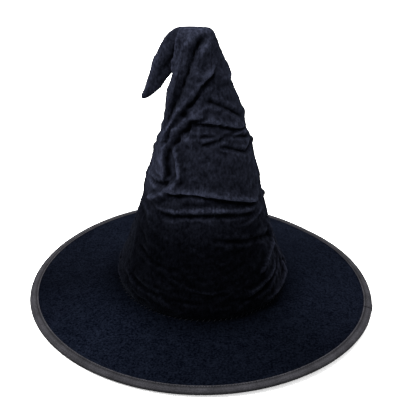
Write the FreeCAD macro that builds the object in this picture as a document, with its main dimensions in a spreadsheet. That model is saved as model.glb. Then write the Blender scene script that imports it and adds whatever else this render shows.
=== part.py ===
import FreeCAD, Part
import math
import os
import Sketcher

# A soft velvet witch hat, standing on the edge of its brim.  Millimetres, +Z up.  The origin is
# the centre of the brim on the surface that the hat stands on, the wearer's front is -Y, and the
# tip of the cone is folded over towards -X.

# Driving dimensions.
SIZES = {
    "brim_radius": 205.0,       # outside of the edge binding
    "brim_slope": 10.5,         # fall of the brim outwards, degrees
    "rest_width": 2.0,          # flat ring that the hat stands on
    "binding_thick": 0.6,
    "binding_width": 10.0,
    "lap_thick": 0.5,           # turned-under end of the binding, lying on its other end
    "lap_angle": 5.0,
    "join_turn": -9.0,          # where the binding and the wire are joined, degrees from +X
    "under_thick": 0.5,
    "core_thick": 1.6,
    "velvet_thick": 0.8,
    "interlining_thick": 2.0,
    "lining_thick": 0.5,
    "ply_gap": 0.1,             # air between layers that lie on each other
    "seam_gap": 0.6,            # between the front and back panels at a side seam
    "ply_inset": 3.2,           # from the outside of the binding to the edge of the plies
    "wire_inset": 1.9,          # from the outside of the binding to the middle of the wire
    "wire_dia": 1.5,
    "ferrule_dia": 2.4,
    "ferrule_long": 12.0,
    "head_radius": 90.0,        # inside of the sweatband
    "band_thick": 0.8,
    "band_low": 21.0,
    "band_high": 46.0,
    "thread_dia": 0.4,
    "base_thread_dia": 0.6,
    "stitch_inset": 1.2,        # from the inner edge of the binding to its stitch line
    "tack_long": 5.0,
    "tack_wide": 2.0,
    "tack_high": 3.0,
}

# Cross-sections of the crown and of the folded tip: height, outside radius, centre along X.
CROWN = [
    (25.0, 98.0, 0.0),
    (48.0, 94.8, 0.0),
    (71.0, 88.0, -0.5),
    (117.0, 75.0, -1.0),
    (160.0, 64.5, -1.2),
    (200.0, 54.5, -1.0),
    (250.0, 41.0, -4.0),
    (281.0, 32.5, -4.5),
    (310.0, 22.0, -7.0),
    (326.0, 17.3, -8.0),
]
CROWN_CLOSING = [
    (335.0, 11.5, -10.0),
    (338.0, 4.0, -11.0),
]
TIP = [
    (334.5, 5.0, -37.0),
    (326.0, 10.0, -37.0),
    (310.0, 10.5, -42.5),
    (281.0, 10.5, -51.0),
    (267.0, 9.0, -59.0),
    (258.0, 6.5, -64.5),
    (253.0, 2.6, -66.5),
]

# Hand tacks that pinch the side seams: name, side of the hat, height.
TACKS = [
    ("left_upper_tack", -1, 194.0),
    ("right_upper_tack", 1, 206.0),
    ("left_lower_tack", -1, 145.0),
    ("right_lower_tack", 1, 138.0),
]

BACK = 1
FRONT = -1

doc = FreeCAD.newDocument("WitchHat")
sheet = doc.addObject("Spreadsheet::Sheet", "Sizes")


# ---- the sheet ----

def enter(alias, number):
    """Write one named number into the next row of the sheet."""
    enter.row += 1
    cell = "A%d" % enter.row
    sheet.set(cell, str(number))
    sheet.setAlias(cell, alias)


enter.row = 0


def enter_stations(name, stations):
    for index, (height, radius, lean) in enumerate(stations):
        enter("%s_height_%d" % (name, index), height)
        enter("%s_radius_%d" % (name, index), radius)
        enter("%s_lean_%d" % (name, index), lean)


def value(expression):
    """The number that an expression on the sheet comes to."""
    return float(sheet.evalExpression(expression))


def on_cone(lift, radius):
    """Height of a layer of the sloping brim at a radius: its lift above the brim's lower face."""
    slope = "tan(Sizes.brim_slope)"
    rest_radius = "(Sizes.brim_radius - Sizes.rest_width)"
    return "%s + (%s - (%s)) * %s" % (lift, rest_radius, radius, slope)


# ---- drawing ----

def new_body(name):
    body = doc.addObject("PartDesign::Body", name)
    body.Label = name
    return body


def new_sketch(body, name, role):
    sketch = body.newObject("Sketcher::SketchObject", name)
    plane = next(item for item in body.Origin.OriginFeatures if item.Role == role)
    sketch.AttachmentSupport = [(plane, "")]
    sketch.MapMode = "FlatFace"
    return sketch


def bind(sketch, name, constraint, expression):
    """Add a dimension to a sketch and tie it to the sheet."""
    index = sketch.addConstraint(constraint)
    sketch.renameConstraint(index, name)
    sketch.setExpression("Constraints." + name, expression)


def place_point(sketch, name, geometry, point, across, up):
    bind(sketch, name + "_x",
         Sketcher.Constraint("DistanceX", -1, 1, geometry, point, value(across)), across)
    bind(sketch, name + "_y",
         Sketcher.Constraint("DistanceY", -1, 1, geometry, point, value(up)), up)


def draw_polygon(sketch, corners):
    """A closed outline of straight lines through corners given as pairs of expressions."""
    spots = [FreeCAD.Vector(value(across), value(up), 0) for across, up in corners]
    count = len(spots)
    for index in range(count):
        sketch.addGeometry(Part.LineSegment(spots[index], spots[(index + 1) % count]))
    for index in range(count):
        following = (index + 1) % count
        sketch.addConstraint(Sketcher.Constraint("Coincident", index, 2, following, 1))
        place_point(sketch, "corner%d" % index, index, 1, *corners[index])


def draw_circle(sketch, name, across, up, radius):
    middle = FreeCAD.Vector(value(across), value(up), 0)
    circle = Part.Circle(middle, FreeCAD.Vector(0, 0, 1), value(radius))
    index = sketch.addGeometry(circle)
    place_point(sketch, name, index, 3, across, up)
    bind(sketch, name + "_r", Sketcher.Constraint("Radius", index, value(radius)), radius)


def draw_half_ring(sketch, side, lean, outer, inner):
    """Half of a ring on one side of the XZ plane, ending half a seam gap away from it."""
    half_gap = "Sizes.seam_gap / 2"
    middle = FreeCAD.Vector(value(lean), 0, 0)
    upright = FreeCAD.Vector(0, 0, 1)
    arcs = []
    for radius in (value(outer), value(inner)):
        trim = math.asin(value(half_gap) / radius)
        turn = 0.0 if side == BACK else math.pi
        circle = Part.Circle(middle, upright, radius)
        arcs.append(Part.ArcOfCircle(circle, turn + trim, turn + math.pi - trim))
    sketch.addGeometry(arcs[0])
    sketch.addGeometry(arcs[1])
    sketch.addGeometry(Part.LineSegment(arcs[0].StartPoint, arcs[1].StartPoint))
    sketch.addGeometry(Part.LineSegment(arcs[0].EndPoint, arcs[1].EndPoint))
    for arc in (0, 1):
        line_end = arc + 1
        sketch.addConstraint(Sketcher.Constraint("Coincident", arc, 1, 2, line_end))
        sketch.addConstraint(Sketcher.Constraint("Coincident", arc, 2, 3, line_end))
    sketch.addConstraint(Sketcher.Constraint("Coincident", 0, 3, 1, 3))
    sketch.addConstraint(Sketcher.Constraint("Horizontal", 2))
    sketch.addConstraint(Sketcher.Constraint("Horizontal", 3))
    place_point(sketch, "middle", 0, 3, lean, "0 * Sizes.seam_gap")
    bind(sketch, "outer", Sketcher.Constraint("Radius", 0, value(outer)), outer)
    bind(sketch, "inner", Sketcher.Constraint("Radius", 1, value(inner)), inner)
    for end in (1, 2):
        edge = "%d * %s" % (side, half_gap)
        bind(sketch, "edge%d" % end,
             Sketcher.Constraint("DistanceY", -1, 1, 0, end, value(edge)), edge)


# ---- kinds of sub-part ----

def revolve(body, name, corners, angle="360"):
    """Turn an outline in the XZ plane round the hat's axis, centred on the body's own +X."""
    sketch = new_sketch(body, name + "_outline", "XZ_Plane")
    draw_polygon(sketch, corners)
    turned = body.newObject("PartDesign::Revolution", name + "_turned")
    turned.Profile = sketch
    turned.ReferenceAxis = (sketch, ["V_Axis"])
    turned.Midplane = True
    turned.setExpression("Angle", angle)


def loft(body, sketches):
    lofted = body.newObject("PartDesign::AdditiveLoft", body.Name + "_loft")
    lofted.Profile = sketches[0]
    lofted.Sections = sketches[1:]
    lofted.Ruled = True


def station_sketch(body, name, index):
    sketch = new_sketch(body, "%s_section_%d" % (body.Name, index), "XY_Plane")
    sketch.setExpression("AttachmentOffset.Base.z", "Sizes.%s_height_%d" % (name, index))
    return sketch


def half_shell(label, name, indices, side, depth, thick):
    """A layer of half of the cone, lying a depth inside the outline and of some thickness."""
    body = new_body(label)
    sketches = []
    for index in indices:
        sketch = station_sketch(body, name, index)
        outer = "Sizes.%s_radius_%d - (%s)" % (name, index, depth)
        inner = "%s - %s" % (outer, thick)
        lean = "Sizes.%s_lean_%d" % (name, index)
        draw_half_ring(sketch, side, lean, outer, inner)
        sketches.append(sketch)
    loft(body, sketches)
    return body


def station_rod(label, name, indices, offset, radius):
    """A round rod through the cross-sections, at an offset across X from each one's centre."""
    body = new_body(label)
    sketches = []
    for index in indices:
        sketch = station_sketch(body, name, index)
        own = {"radius": "Sizes.%s_radius_%d" % (name, index)}
        across = "Sizes.%s_lean_%d + %s" % (name, index, offset % own)
        draw_circle(sketch, "rod", across, "0 * Sizes.seam_gap", radius % own)
        sketches.append(sketch)
    loft(body, sketches)
    return body


def brim_ply(label, lift, thick):
    """One layer of the brim, from the head opening out to the wire."""
    body = new_body(label)
    inner = "Sizes.head_radius + Sizes.band_thick + 2 * Sizes.ply_gap"
    outer = "Sizes.brim_radius - Sizes.ply_inset"
    revolve(body, label, [
        (inner, on_cone(lift, inner)),
        (outer, on_cone(lift, outer)),
        (outer, on_cone(lift, outer) + " + " + thick),
        (inner, on_cone(lift, inner) + " + " + thick),
    ])
    return body


def thread_ring(label, radius, height, dia):
    ring = doc.addObject("Part::Torus", label)
    ring.Label = label
    ring.setExpression("Radius1", radius)
    ring.setExpression("Radius2", "%s / 2" % dia)
    ring.setExpression("Placement.Base.z", height)
    return ring


# ---- the hat ----

for alias, number in SIZES.items():
    enter(alias, number)
enter_stations("crown", CROWN + CROWN_CLOSING)
enter_stations("tip", TIP)
doc.recompute()

subparts = []

# Cone: velvet outside, stiff interlining, thin lining, each in a front and a back half.
crown_all = range(len(CROWN) + len(CROWN_CLOSING))
crown_wall = range(len(CROWN))
interlining_depth = "Sizes.velvet_thick + Sizes.ply_gap"
lining_depth = interlining_depth + " + Sizes.interlining_thick + Sizes.ply_gap"
for end, side in (("front", FRONT), ("back", BACK)):
    subparts.append(half_shell("crown_%s_panel" % end, "crown", crown_all, side,
                               "0 * Sizes.ply_gap", "Sizes.velvet_thick"))
    subparts.append(half_shell("crown_%s_interlining" % end, "crown", crown_wall, side,
                               interlining_depth, "Sizes.interlining_thick"))
    subparts.append(half_shell("lining_%s_panel" % end, "crown", crown_wall, side,
                               lining_depth, "Sizes.lining_thick"))

# Side seams: a thread in the middle of the velvet, in the gap between the two panels.
thread_radius = "Sizes.thread_dia / 2"
left_offset = "Sizes.velvet_thick / 2 - %(radius)s"
right_offset = "%(radius)s - Sizes.velvet_thick / 2"
subparts.append(station_rod("left_seam_thread", "crown", crown_all, left_offset, thread_radius))
subparts.append(station_rod("right_seam_thread", "crown", crown_all, right_offset, thread_radius))


def wall_at(height):
    """Outside radius and centre of the crown at a height, between its cross-sections."""
    for low, high in zip(CROWN, CROWN[1:]):
        if low[0] <= height <= high[0]:
            part = (height - low[0]) / (high[0] - low[0])
            radius = low[1] + part * (high[1] - low[1])
            lean = low[2] + part * (high[2] - low[2])
            return radius, lean
    raise ValueError("no crown wall at height %g" % height)


# Tacks: a bar of thread standing out from the seam, where the velvet is pinched together.
tack_clear = 0.9
for label, side, height in TACKS:
    radius, lean = wall_at(height)
    tack = doc.addObject("Part::Box", label)
    tack.Label = label
    tack.setExpression("Length", "Sizes.tack_long")
    tack.setExpression("Width", "Sizes.tack_wide")
    tack.setExpression("Height", "Sizes.tack_high")
    wall = lean + side * (radius + tack_clear)
    enter(label + "_wall", wall)
    tack_shift = "" if side > 0 else " - Sizes.tack_long"
    tack.setExpression("Placement.Base.x", "Sizes.%s_wall%s" % (label, tack_shift))
    tack.setExpression("Placement.Base.y", "-Sizes.tack_wide / 2")
    enter(label + "_height", height)
    tack.setExpression("Placement.Base.z", "Sizes.%s_height - Sizes.tack_high / 2" % label)
    subparts.append(tack)

# Brim: three plies on the slope, each lifted by what lies under it.
under_lift = "Sizes.binding_thick + Sizes.ply_gap"
core_lift = under_lift + " + Sizes.under_thick + Sizes.ply_gap"
velvet_lift = core_lift + " + Sizes.core_thick + Sizes.ply_gap"
cover_lift = velvet_lift + " + Sizes.velvet_thick + Sizes.ply_gap"
subparts.append(brim_ply("brim_under_cloth", under_lift, "Sizes.under_thick"))
subparts.append(brim_ply("brim_core", core_lift, "Sizes.core_thick"))
subparts.append(brim_ply("brim_top_velvet", velvet_lift, "Sizes.velvet_thick"))

# Edge wire, a closed ring just outside the plies, and the ferrule crimped round its joint.
wire_radius = "Sizes.brim_radius - Sizes.wire_inset"
wire_height = "%s + Sizes.core_thick / 2" % core_lift
subparts.append(thread_ring("brim_wire", wire_radius, wire_height, "Sizes.wire_dia"))

# Edge binding: ribbon folded round the edge, flat below where the hat stands, with its end
# turned under and lapped on top, outside the stitch line.
binding = new_body("edge_binding")
binding_out = "Sizes.brim_radius"
binding_in = "Sizes.brim_radius - Sizes.binding_width"
rest_radius = "Sizes.brim_radius - Sizes.rest_width"
fold_radius = "Sizes.brim_radius - Sizes.binding_thick"
floor = "0 * Sizes.binding_thick"
binding_top = cover_lift + " + Sizes.binding_thick"
lap_in = binding_in + " + 2 * Sizes.stitch_inset"
revolve(binding, "ribbon", [
    (binding_out, floor),
    (rest_radius, floor),
    (binding_in, on_cone(floor, binding_in)),
    (binding_in, on_cone("Sizes.binding_thick", binding_in)),
    (rest_radius, "Sizes.binding_thick"),
    (fold_radius, "Sizes.binding_thick"),
    (fold_radius, on_cone(cover_lift, fold_radius)),
    (binding_in, on_cone(cover_lift, binding_in)),
    (binding_in, on_cone(binding_top, binding_in)),
    (binding_out, on_cone(binding_top, binding_out)),
])
revolve(binding, "lap", [
    (lap_in, on_cone(binding_top, lap_in)),
    (binding_out, on_cone(binding_top, binding_out)),
    (binding_out, on_cone(binding_top, binding_out) + " + Sizes.lap_thick"),
    (lap_in, on_cone(binding_top, lap_in) + " + Sizes.lap_thick"),
], "Sizes.lap_angle")
binding.setExpression("Placement.Rotation.Angle", "Sizes.join_turn")
subparts.append(binding)

# Stitch lines, clear of the sloping faces that they lie on.
stitch_radius = "Sizes.brim_radius - Sizes.binding_width + Sizes.stitch_inset"
stitch_lift = "Sizes.thread_dia / 2 + Sizes.ply_gap"
subparts.append(thread_ring("binding_top_thread", stitch_radius,
                            on_cone(binding_top, stitch_radius) + " + " + stitch_lift,
                            "Sizes.thread_dia"))
subparts.append(thread_ring("binding_bottom_thread", stitch_radius,
                            on_cone("-(%s)" % stitch_lift, stitch_radius),
                            "Sizes.thread_dia"))
base_radius = "Sizes.crown_radius_0 + Sizes.base_thread_dia"
base_lift = "%s + Sizes.velvet_thick + Sizes.base_thread_dia / 2 + Sizes.ply_gap" % velvet_lift
subparts.append(thread_ring("base_seam_thread", base_radius, on_cone(base_lift, base_radius),
                            "Sizes.base_thread_dia"))

# Sweatband: an upright ribbon round the head opening, and the thread on its hidden side.
band = new_body("sweatband")
band_out = "Sizes.head_radius + Sizes.band_thick"
revolve(band, "band", [
    ("Sizes.head_radius", "Sizes.band_low"),
    (band_out, "Sizes.band_low"),
    (band_out, "Sizes.band_high"),
    ("Sizes.head_radius", "Sizes.band_high"),
])
subparts.append(band)
subparts.append(thread_ring("sweatband_thread", band_out + " + " + stitch_lift,
                            "Sizes.band_low + (Sizes.band_high - Sizes.band_low) / 2",
                            "Sizes.thread_dia"))

# Tip of the cone, folded over: its rounded top is centred on the fold that it turns about.
tip_all = range(len(TIP))
tip_filled = range(1, len(TIP) - 1)
for end, side in (("front", FRONT), ("back", BACK)):
    subparts.append(half_shell("tip_%s_panel" % end, "tip", tip_all, side,
                               "0 * Sizes.ply_gap", "Sizes.velvet_thick"))
subparts.append(station_rod("tip_interlining", "tip", tip_filled, "0 * Sizes.ply_gap",
                            "%%(radius)s - (%s)" % interlining_depth))
subparts.append(station_rod("tip_seam_thread", "tip", tip_all, left_offset, thread_radius))

doc.recompute()

# The ferrule is a short length of a larger ring round the wire, at the wire's joint.
ferrule = doc.addObject("Part::Feature", "wire_ferrule")
ferrule.Label = "wire_ferrule"
ring_radius = value(wire_radius)
bore = value("Sizes.wire_dia / 2 + Sizes.ply_gap / 2")
half_turn = math.degrees(value("Sizes.ferrule_long / 2") / ring_radius)
outside = Part.makeTorus(ring_radius, value("Sizes.ferrule_dia / 2"))
inside = Part.makeTorus(ring_radius, bore)
wedge_radius = value("Sizes.brim_radius")
wedge = Part.makeCylinder(wedge_radius, 10, FreeCAD.Vector(0, 0, -5),
                          FreeCAD.Vector(0, 0, 1), 2 * half_turn)
turn = value("Sizes.join_turn") - half_turn
wedge.rotate(FreeCAD.Vector(0, 0, 0), FreeCAD.Vector(0, 0, 1), turn)
ferrule.Shape = outside.cut(inside).common(wedge)
ferrule.Placement = FreeCAD.Placement(FreeCAD.Vector(0, 0, value(wire_height)),
                                      FreeCAD.Rotation())
subparts.append(ferrule)

# ---- checks and files ----

for item in doc.Objects:
    if "Invalid" in item.State or "Error" in item.State:
        raise RuntimeError("%s did not build: %s" % (item.Label, item.State))
for item in subparts:
    if item.Shape.isNull() or not item.Shape.isValid():
        raise RuntimeError("%s has no valid shape" % item.Label)

os.makedirs("parts", exist_ok=True)
for item in subparts:
    item.Shape.exportStep("parts/%s.step" % item.Label)
    box = item.Shape.BoundBox
    print("%-24s %9.1f mm3  z %6.1f to %6.1f" % (item.Label, item.Shape.Volume, box.ZMin, box.ZMax))
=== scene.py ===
import math

import bmesh
import bpy
import numpy as np
from mathutils import Matrix, Vector


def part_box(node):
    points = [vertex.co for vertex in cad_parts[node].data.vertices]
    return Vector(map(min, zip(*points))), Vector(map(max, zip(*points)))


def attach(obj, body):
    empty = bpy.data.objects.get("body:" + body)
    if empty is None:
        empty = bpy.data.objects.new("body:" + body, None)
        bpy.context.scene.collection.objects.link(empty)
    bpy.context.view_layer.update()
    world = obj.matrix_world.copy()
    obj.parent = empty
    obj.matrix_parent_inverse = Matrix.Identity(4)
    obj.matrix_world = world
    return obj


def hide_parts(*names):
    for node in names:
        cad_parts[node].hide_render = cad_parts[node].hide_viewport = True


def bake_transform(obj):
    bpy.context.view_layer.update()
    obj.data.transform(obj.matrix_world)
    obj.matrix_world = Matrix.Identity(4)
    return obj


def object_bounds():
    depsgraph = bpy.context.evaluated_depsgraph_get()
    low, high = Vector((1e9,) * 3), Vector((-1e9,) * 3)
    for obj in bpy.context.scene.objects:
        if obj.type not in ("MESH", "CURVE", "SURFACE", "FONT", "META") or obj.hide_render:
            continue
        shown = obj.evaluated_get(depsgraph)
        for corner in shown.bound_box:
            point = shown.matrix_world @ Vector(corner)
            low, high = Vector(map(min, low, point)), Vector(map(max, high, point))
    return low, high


# A soft velvet witch hat on the edge of its brim, with the tip of its cone folded over.
# Sizes below are millimetres; MM turns them into the frame's metres.  Angles round the hat are
# degrees from the front (-Y) towards the viewer's right (+X).

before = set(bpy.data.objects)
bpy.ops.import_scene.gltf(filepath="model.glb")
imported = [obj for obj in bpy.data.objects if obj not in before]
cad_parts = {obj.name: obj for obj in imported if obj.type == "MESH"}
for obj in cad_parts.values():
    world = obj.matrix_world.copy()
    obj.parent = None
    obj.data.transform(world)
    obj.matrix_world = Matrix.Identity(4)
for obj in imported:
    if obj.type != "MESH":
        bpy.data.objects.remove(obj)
CAD_LOW, CAD_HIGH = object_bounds()
MM = 0.001

# ---- sizes read from the frame ----

BRIM_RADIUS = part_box("edge_binding")[1].x / MM
CORE_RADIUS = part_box("brim_core")[1].x / MM
BAND_LOW, BAND_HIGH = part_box("sweatband")
HOLE_RADIUS = BAND_HIGH.x / MM
BRIM_SLOPE = math.radians(10.5)
EDGE_ROUND = 2.0                # radius of the brim's round edge
REST_RADIUS = BRIM_RADIUS - EDGE_ROUND
FOOT_RADIUS = 94.0              # where the velvet of the cone meets the brim

# Lift of each layer of the brim above the brim's lower face.
BINDING_THICK = 0.6
UNDER_LIFT, UNDER_THICK = 0.7, 0.5
CORE_LIFT, CORE_THICK = 1.3, 1.6
VELVET_LIFT, VELVET_THICK = 3.0, 0.8
COVER_LIFT = 3.9
BINDING_WIDTH = 10.0
STITCH_INSET = 1.2

# Thickness of the threads.
BRIM_THREAD, SEAM_THREAD, TIP_THREAD, TACK_THREAD = 0.42, 0.36, 0.34, 0.62

RIPPLE_WAVES = 28               # sine waves added up in a ripple
WELD_DISTANCE = 0.02


# ---- small mathematics ----

def ease(low, high, x):
    """0 below low, 1 above high, smooth between."""
    t = np.clip((np.asarray(x, float) - low) / (high - low), 0, 1)
    return t * t * (3 - 2 * t)


def through(stations, count):
    """A smooth curve through rows of numbers, sampled evenly by distance along its first three."""
    rows = np.array(stations, float)
    padded = np.vstack([2 * rows[0] - rows[1], rows, 2 * rows[-1] - rows[-2]])
    gaps = np.maximum(np.linalg.norm(np.diff(padded[:, :3], axis=0), axis=1), 1e-6)
    slopes = np.diff(padded, axis=0) / gaps[:, None]
    before, after = gaps[:-1, None], gaps[1:, None]
    speed = (slopes[:-1] * after + slopes[1:] * before) / (before + after)
    t = np.linspace(0, 1, 24, endpoint=False)[:, None]
    fine = []
    for k in range(len(rows) - 1):
        gap = gaps[k + 1]
        fine.append(rows[k] * (1 + 2 * t) * (1 - t) ** 2 + speed[k] * gap * t * (1 - t) ** 2
                    + rows[k + 1] * t ** 2 * (3 - 2 * t) - speed[k + 1] * gap * t ** 2 * (1 - t))
    fine.append(rows[-1:])
    fine = np.vstack(fine)
    steps = np.linalg.norm(np.diff(fine[:, :3], axis=0), axis=1)
    along = np.concatenate([[0], np.cumsum(steps)])
    wanted = np.linspace(0, along[-1], count)
    return np.stack([np.interp(wanted, along, fine[:, k]) for k in range(rows.shape[1])], 1)


def ripple(points, wavelength, seed):
    """A seeded random field with features about a wavelength across, about -1 to 1."""
    rng = np.random.default_rng(seed)
    ways = rng.normal(size=(RIPPLE_WAVES, 3))
    ways /= np.linalg.norm(ways, axis=1)[:, None]
    ways *= (2 * np.pi / wavelength) * rng.uniform(0.7, 1.4, RIPPLE_WAVES)[:, None]
    phase = rng.uniform(0, 2 * np.pi, RIPPLE_WAVES)
    return np.sin(points @ ways.T + phase).sum(-1) / math.sqrt(RIPPLE_WAVES)


def grid_normals(grid, wrap):
    """Outward unit normals of a grid of points, rows upwards and columns round from the front."""
    if wrap:
        across = np.roll(grid, -1, 1) - np.roll(grid, 1, 1)
    else:
        across = np.gradient(grid, axis=1)
    up = np.gradient(grid, axis=0)
    normal = np.cross(across, up)
    return normal / np.maximum(np.linalg.norm(normal, axis=2), 1e-9)[..., None]


# ---- making meshes ----

def mesh_piece(name, points, faces, material, body="hat"):
    """A smooth-shaded piece from points in millimetres, riding on a body."""
    mesh = bpy.data.meshes.new(name)
    mesh.from_pydata((np.asarray(points, float) * MM).tolist(), [], faces)
    mesh.update()
    mesh.polygons.foreach_set("use_smooth", [True] * len(mesh.polygons))
    piece = bpy.data.objects.new(name, mesh)
    bpy.context.scene.collection.objects.link(piece)
    mesh.materials.append(material)
    if body:
        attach(piece, body)
    return piece


def grid_faces(rows, cols, wrap):
    """The faces of a grid of points, closed round its columns if it wraps."""
    last = cols if wrap else cols - 1
    faces = []
    for r in range(rows - 1):
        low = r * cols
        high = low + cols
        for c in range(last):
            n = (c + 1) % cols
            faces.append((low + c, low + n, high + n, high + c))
    return faces


def grid_piece(name, grid, wrap, material, body="hat"):
    rows, cols = grid.shape[:2]
    return mesh_piece(name, grid.reshape(-1, 3), grid_faces(rows, cols, wrap), material, body)


def thicken(piece, thick):
    """Give a sheet its thickness, inwards from its outer face."""
    solid = piece.modifiers.new("cloth_thickness", "SOLIDIFY")
    solid.thickness = thick * MM
    solid.offset = -1.0


def weld(piece):
    """Join points that lie on each other, such as a row that has closed to a point."""
    work = bmesh.new()
    work.from_mesh(piece.data)
    bmesh.ops.remove_doubles(work, verts=work.verts, dist=WELD_DISTANCE * MM)
    work.to_mesh(piece.data)
    work.free()


def stitches(name, line, normals, pitch, length, dia, material, body="hat", turn=0.0, sink=0.3):
    """Separate stitches along a line of points: each a short thread that dips in at both ends."""
    steps = np.linalg.norm(np.diff(line, axis=0), axis=1)
    along = np.concatenate([[0], np.cumsum(steps)])
    count = int(along[-1] / pitch)
    sides, rings = 6, 5
    points, faces = [], []
    for k in range(count):
        middle = (k + 0.5) * along[-1] / count
        centre = np.array([np.interp(middle, along, line[:, a]) for a in range(3)])
        ahead = np.array([np.interp(middle + 1.0, along, line[:, a]) for a in range(3)])
        behind = np.array([np.interp(middle - 1.0, along, line[:, a]) for a in range(3)])
        up = np.array([np.interp(middle, along, normals[:, a]) for a in range(3)])
        way = ahead - behind
        way /= np.linalg.norm(way)
        up -= way * (up @ way)
        up /= np.linalg.norm(up)
        side = np.cross(up, way)
        lean = math.radians(turn + 5.0 * math.sin(k * 2.4))
        way, side = (way * math.cos(lean) + side * math.sin(lean),
                     side * math.cos(lean) - way * math.sin(lean))
        start = len(points)
        for ring in range(rings):
            t = ring / (rings - 1) * 2 - 1
            spot = centre + way * (t * length / 2) + up * (dia * 0.5 - (abs(t) ** 3) * (dia + sink))
            for s in range(sides):
                a = 2 * math.pi * s / sides
                points.append(spot + (side * math.cos(a) + up * math.sin(a)) * dia / 2)
        for ring in range(rings - 1):
            for s in range(sides):
                low = start + ring * sides
                n = (s + 1) % sides
                faces.append((low + s, low + n, low + sides + n, low + sides + s))
        faces.append(tuple(start + s for s in reversed(range(sides))))
        faces.append(tuple(start + (rings - 1) * sides + s for s in range(sides)))
    return mesh_piece(name, points, faces, material, body)


# ---- materials ----

def new_material(name):
    material = bpy.data.materials.new(name)
    material.use_nodes = True
    tree = material.node_tree
    shader = tree.nodes["Principled BSDF"]
    place = tree.nodes.new("ShaderNodeTexCoord").outputs["Object"]
    return material, tree, shader, place


def noise(tree, place, scale, detail=3.0, rough=0.55, stretch=None):
    if stretch:
        mapping = tree.nodes.new("ShaderNodeMapping")
        mapping.inputs["Scale"].default_value = stretch
        tree.links.new(place, mapping.inputs["Vector"])
        place = mapping.outputs["Vector"]
    node = tree.nodes.new("ShaderNodeTexNoise")
    node.inputs["Scale"].default_value = scale
    node.inputs["Detail"].default_value = detail
    node.inputs["Roughness"].default_value = rough
    tree.links.new(place, node.inputs["Vector"])
    return node.outputs["Fac"]


def ramp(tree, source, low, high, dark, light):
    node = tree.nodes.new("ShaderNodeValToRGB")
    node.color_ramp.elements[0].position = low
    node.color_ramp.elements[0].color = (*dark, 1)
    node.color_ramp.elements[1].position = high
    node.color_ramp.elements[1].color = (*light, 1)
    tree.links.new(source, node.inputs["Fac"])
    return node.outputs["Color"]


def arithmetic(tree, kind, a, b):
    node = tree.nodes.new("ShaderNodeMath")
    node.operation = kind
    for socket, source in zip(node.inputs, (a, b)):
        if isinstance(source, (int, float)):
            socket.default_value = source
        else:
            tree.links.new(source, socket)
    return node.outputs["Value"]


def bump(tree, shader, height, distance, strength=1.0):
    node = tree.nodes.new("ShaderNodeBump")
    node.inputs["Strength"].default_value = strength
    node.inputs["Distance"].default_value = distance * MM
    tree.links.new(height, node.inputs["Height"])
    tree.links.new(node.outputs["Normal"], shader.inputs["Normal"])


def velvet(name, dark, light, sheen, patch_scale):
    """Pile cloth: crushed patches lie lighter or darker, over a fine nap, with a sheen.

    The vertex attribute "tone" scales the colour, to paint light and shade onto the cloth.
    """
    material, tree, shader, place = new_material(name)
    patches = noise(tree, place, patch_scale, 5.0, 0.66, (1.0, 1.0, 0.6))
    broad = noise(tree, place, patch_scale / 5, 3.0, 0.6, (1.0, 1.0, 0.6))
    nap = noise(tree, place, 1500.0, 2.0, 0.6)
    mixed = arithmetic(tree, "ADD", arithmetic(tree, "MULTIPLY", patches, 0.60),
                       arithmetic(tree, "MULTIPLY", nap, 0.25))
    mixed = arithmetic(tree, "ADD", mixed, arithmetic(tree, "MULTIPLY", broad, 0.15))
    colour = toned(tree, ramp(tree, mixed, 0.42, 0.61, dark, light))
    tree.links.new(colour, shader.inputs["Base Color"])
    shader.inputs["Roughness"].default_value = 0.85
    shader.inputs["Specular IOR Level"].default_value = 0.0
    shader.inputs["Sheen Weight"].default_value = sheen
    shader.inputs["Sheen Roughness"].default_value = 0.38
    shader.inputs["Sheen Tint"].default_value = (0.62, 0.72, 1.0, 1.0)
    height = arithmetic(tree, "ADD", arithmetic(tree, "MULTIPLY", patches, 1.2),
                        arithmetic(tree, "MULTIPLY", nap, 0.45))
    bump(tree, shader, height, 0.8, 0.8)
    return material


def set_tone(piece, values, name="tone"):
    """How much the colour is scaled at each point, to paint light and shade: 1 is its own colour."""
    layer = piece.data.attributes.new(name, "FLOAT", "POINT")
    layer.data.foreach_set("value", np.asarray(values, np.float32).ravel())


def toned(tree, colour):
    """A colour scaled by the vertex attribute "tone"."""
    tone = tree.nodes.new("ShaderNodeAttribute")
    tone.attribute_name = "tone"
    shaded = tree.nodes.new("ShaderNodeVectorMath")
    shaded.operation = "SCALE"
    tree.links.new(colour, shaded.inputs[0])
    tree.links.new(tone.outputs["Fac"], shaded.inputs["Scale"])
    return shaded.outputs["Vector"]


def woven(name, dark, light, scale, stretch, rough=0.7, sheen=0.15, lift=0.25, rib=0.0, gloss=0.2):
    """Plain or ribbed cloth: threads in one or two directions, uneven in tone.

    rib is the spacing of ribs in millimetres along the vertex attribute "along".
    """
    material, tree, shader, place = new_material(name)
    threads = noise(tree, place, scale, 2.0, 0.5, stretch)
    broad = noise(tree, place, 60.0, 2.0, 0.5)
    mixed = arithmetic(tree, "ADD", arithmetic(tree, "MULTIPLY", threads, 0.7),
                       arithmetic(tree, "MULTIPLY", broad, 0.3))
    height = threads
    colour = ramp(tree, mixed, 0.38, 0.62, dark, light)
    if rib:
        along = tree.nodes.new("ShaderNodeAttribute")
        along.attribute_name = "along"
        ribs = arithmetic(tree, "SINE", arithmetic(tree, "MULTIPLY", along.outputs["Fac"],
                                                   2 * math.pi / rib), 0.0)
        height = arithmetic(tree, "ADD", arithmetic(tree, "MULTIPLY", ribs, 0.6), threads)
        colour = toned(tree, colour)
    tree.links.new(colour, shader.inputs["Base Color"])
    shader.inputs["Roughness"].default_value = rough
    shader.inputs["Specular IOR Level"].default_value = gloss
    shader.inputs["Sheen Weight"].default_value = sheen
    bump(tree, shader, height, lift, 0.7)
    return material


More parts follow.
